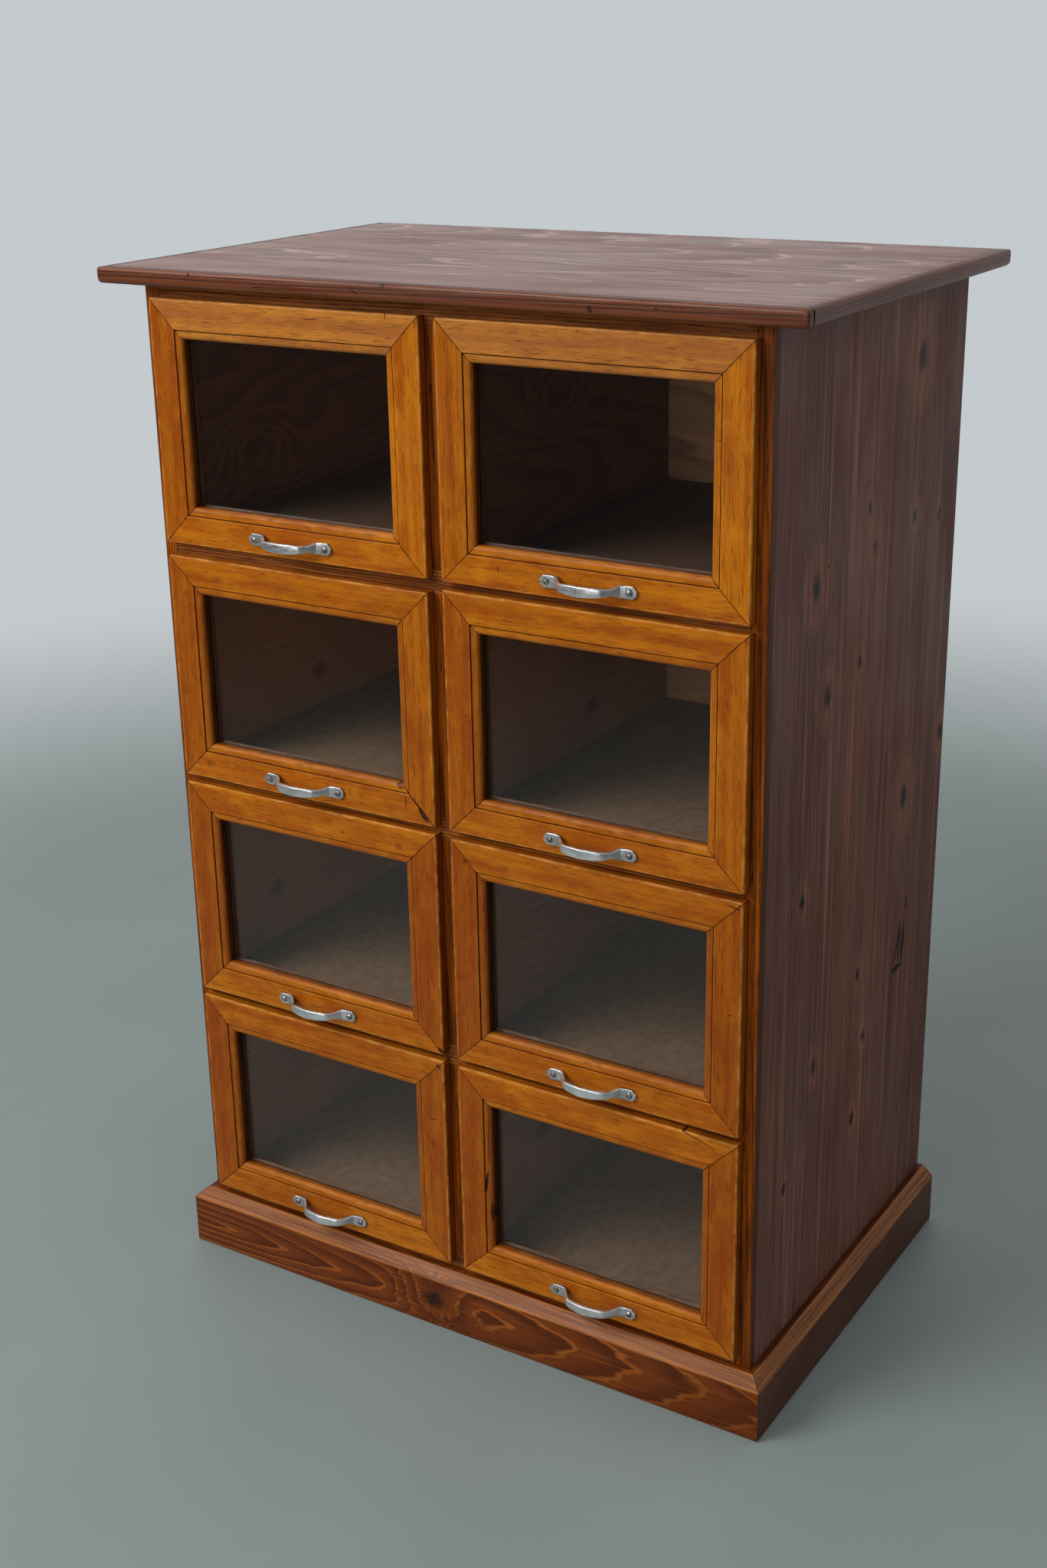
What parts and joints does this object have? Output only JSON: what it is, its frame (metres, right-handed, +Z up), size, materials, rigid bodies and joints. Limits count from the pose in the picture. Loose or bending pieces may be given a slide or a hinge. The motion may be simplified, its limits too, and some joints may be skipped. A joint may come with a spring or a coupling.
{
  "type": "chest of drawers",
  "caption": "Tall haberdashery cabinet with two columns of glass-fronted drawers in mitred wood frames, bow pulls, an overhanging top and a chamfered plinth.",
  "frame": {"origin": "on the floor, under the middle of the carcass footprint (side panel to side panel, face frame to back)", "axes": "+Z up, +Y from the drawer fronts to the back, +X to the right of someone facing the drawers; the drawers open towards -Y"},
  "size_m": [0.848, 0.546, 1.238],
  "materials": {
    "top_pine": "stained and waxed",
    "top_lipping": "stained and waxed",
    "side_pine": "stained and waxed",
    "back_pine": "bare",
    "inner_pine": "bare",
    "face_frame_oak": "waxed",
    "drawer_front_wood": "worn varnish",
    "bead_wood": "varnished",
    "drawer_pine": "bare, aged",
    "plinth_pine": "stained and waxed",
    "clear_glass": "clear",
    "cast_aluminium": "polished, worn",
    "steel_screw": "dull"
  },
  "bodies": {
    "carcass": {"top_panel": "top_pine", "top_lippings": "top_lipping", "side_left": "side_pine", "side_right": "side_pine", "back_panel": "back_pine", "bottom_board": "inner_pine", "centre_partition": "inner_pine", "face_frame_stiles": "face_frame_oak", "face_frame_rails": "face_frame_oak", "drawer_runners": "inner_pine", "plinth_boards": "plinth_pine", "blocks_and_cleats": "inner_pine"},
    "drawer_bottom_left": {"drawer_front_bottom_left": "drawer_front_wood", "glazing_beads_bottom_left": "bead_wood", "glass_bottom_left": "clear_glass", "drawer_box_bottom_left": "drawer_pine", "pull_bottom_left": "cast_aluminium", "pull_screws_bottom_left": "steel_screw"},
    "drawer_bottom_right": {"drawer_front_bottom_right": "drawer_front_wood", "glazing_beads_bottom_right": "bead_wood", "glass_bottom_right": "clear_glass", "drawer_box_bottom_right": "drawer_pine", "pull_bottom_right": "cast_aluminium", "pull_screws_bottom_right": "steel_screw"},
    "drawer_lower_left": {"drawer_front_lower_left": "drawer_front_wood", "glazing_beads_lower_left": "bead_wood", "glass_lower_left": "clear_glass", "drawer_box_lower_left": "drawer_pine", "pull_lower_left": "cast_aluminium", "pull_screws_lower_left": "steel_screw"},
    "drawer_lower_right": {"drawer_front_lower_right": "drawer_front_wood", "glazing_beads_lower_right": "bead_wood", "glass_lower_right": "clear_glass", "drawer_box_lower_right": "drawer_pine", "pull_lower_right": "cast_aluminium", "pull_screws_lower_right": "steel_screw"},
    "drawer_upper_left": {"drawer_front_upper_left": "drawer_front_wood", "glazing_beads_upper_left": "bead_wood", "glass_upper_left": "clear_glass", "drawer_box_upper_left": "drawer_pine", "pull_upper_left": "cast_aluminium", "pull_screws_upper_left": "steel_screw"},
    "drawer_upper_right": {"drawer_front_upper_right": "drawer_front_wood", "glazing_beads_upper_right": "bead_wood", "glass_upper_right": "clear_glass", "drawer_box_upper_right": "drawer_pine", "pull_upper_right": "cast_aluminium", "pull_screws_upper_right": "steel_screw"},
    "drawer_top_left": {"drawer_front_top_left": "drawer_front_wood", "glazing_beads_top_left": "bead_wood", "glass_top_left": "clear_glass", "drawer_box_top_left": "drawer_pine", "pull_top_left": "cast_aluminium", "pull_screws_top_left": "steel_screw"},
    "drawer_top_right": {"drawer_front_top_right": "drawer_front_wood", "glazing_beads_top_right": "bead_wood", "glass_top_right": "clear_glass", "drawer_box_top_right": "drawer_pine", "pull_top_right": "cast_aluminium", "pull_screws_top_right": "steel_screw"}
  },
  "joints": [
    {"name": "slide_bottom_left", "type": "slide", "parent": "carcass", "child": "drawer_bottom_left", "axis": [0, -1, 0], "range_m": [0, 0.36]},
    {"name": "slide_bottom_right", "type": "slide", "parent": "carcass", "child": "drawer_bottom_right", "axis": [0, -1, 0], "range_m": [0, 0.36]},
    {"name": "slide_lower_left", "type": "slide", "parent": "carcass", "child": "drawer_lower_left", "axis": [0, -1, 0], "range_m": [0, 0.36]},
    {"name": "slide_lower_right", "type": "slide", "parent": "carcass", "child": "drawer_lower_right", "axis": [0, -1, 0], "range_m": [0, 0.36]},
    {"name": "slide_upper_left", "type": "slide", "parent": "carcass", "child": "drawer_upper_left", "axis": [0, -1, 0], "range_m": [0, 0.36]},
    {"name": "slide_upper_right", "type": "slide", "parent": "carcass", "child": "drawer_upper_right", "axis": [0, -1, 0], "range_m": [0, 0.36]},
    {"name": "slide_top_left", "type": "slide", "parent": "carcass", "child": "drawer_top_left", "axis": [0, -1, 0], "range_m": [0, 0.36]},
    {"name": "slide_top_right", "type": "slide", "parent": "carcass", "child": "drawer_top_right", "axis": [0, -1, 0], "range_m": [0, 0.36]}
  ]
}
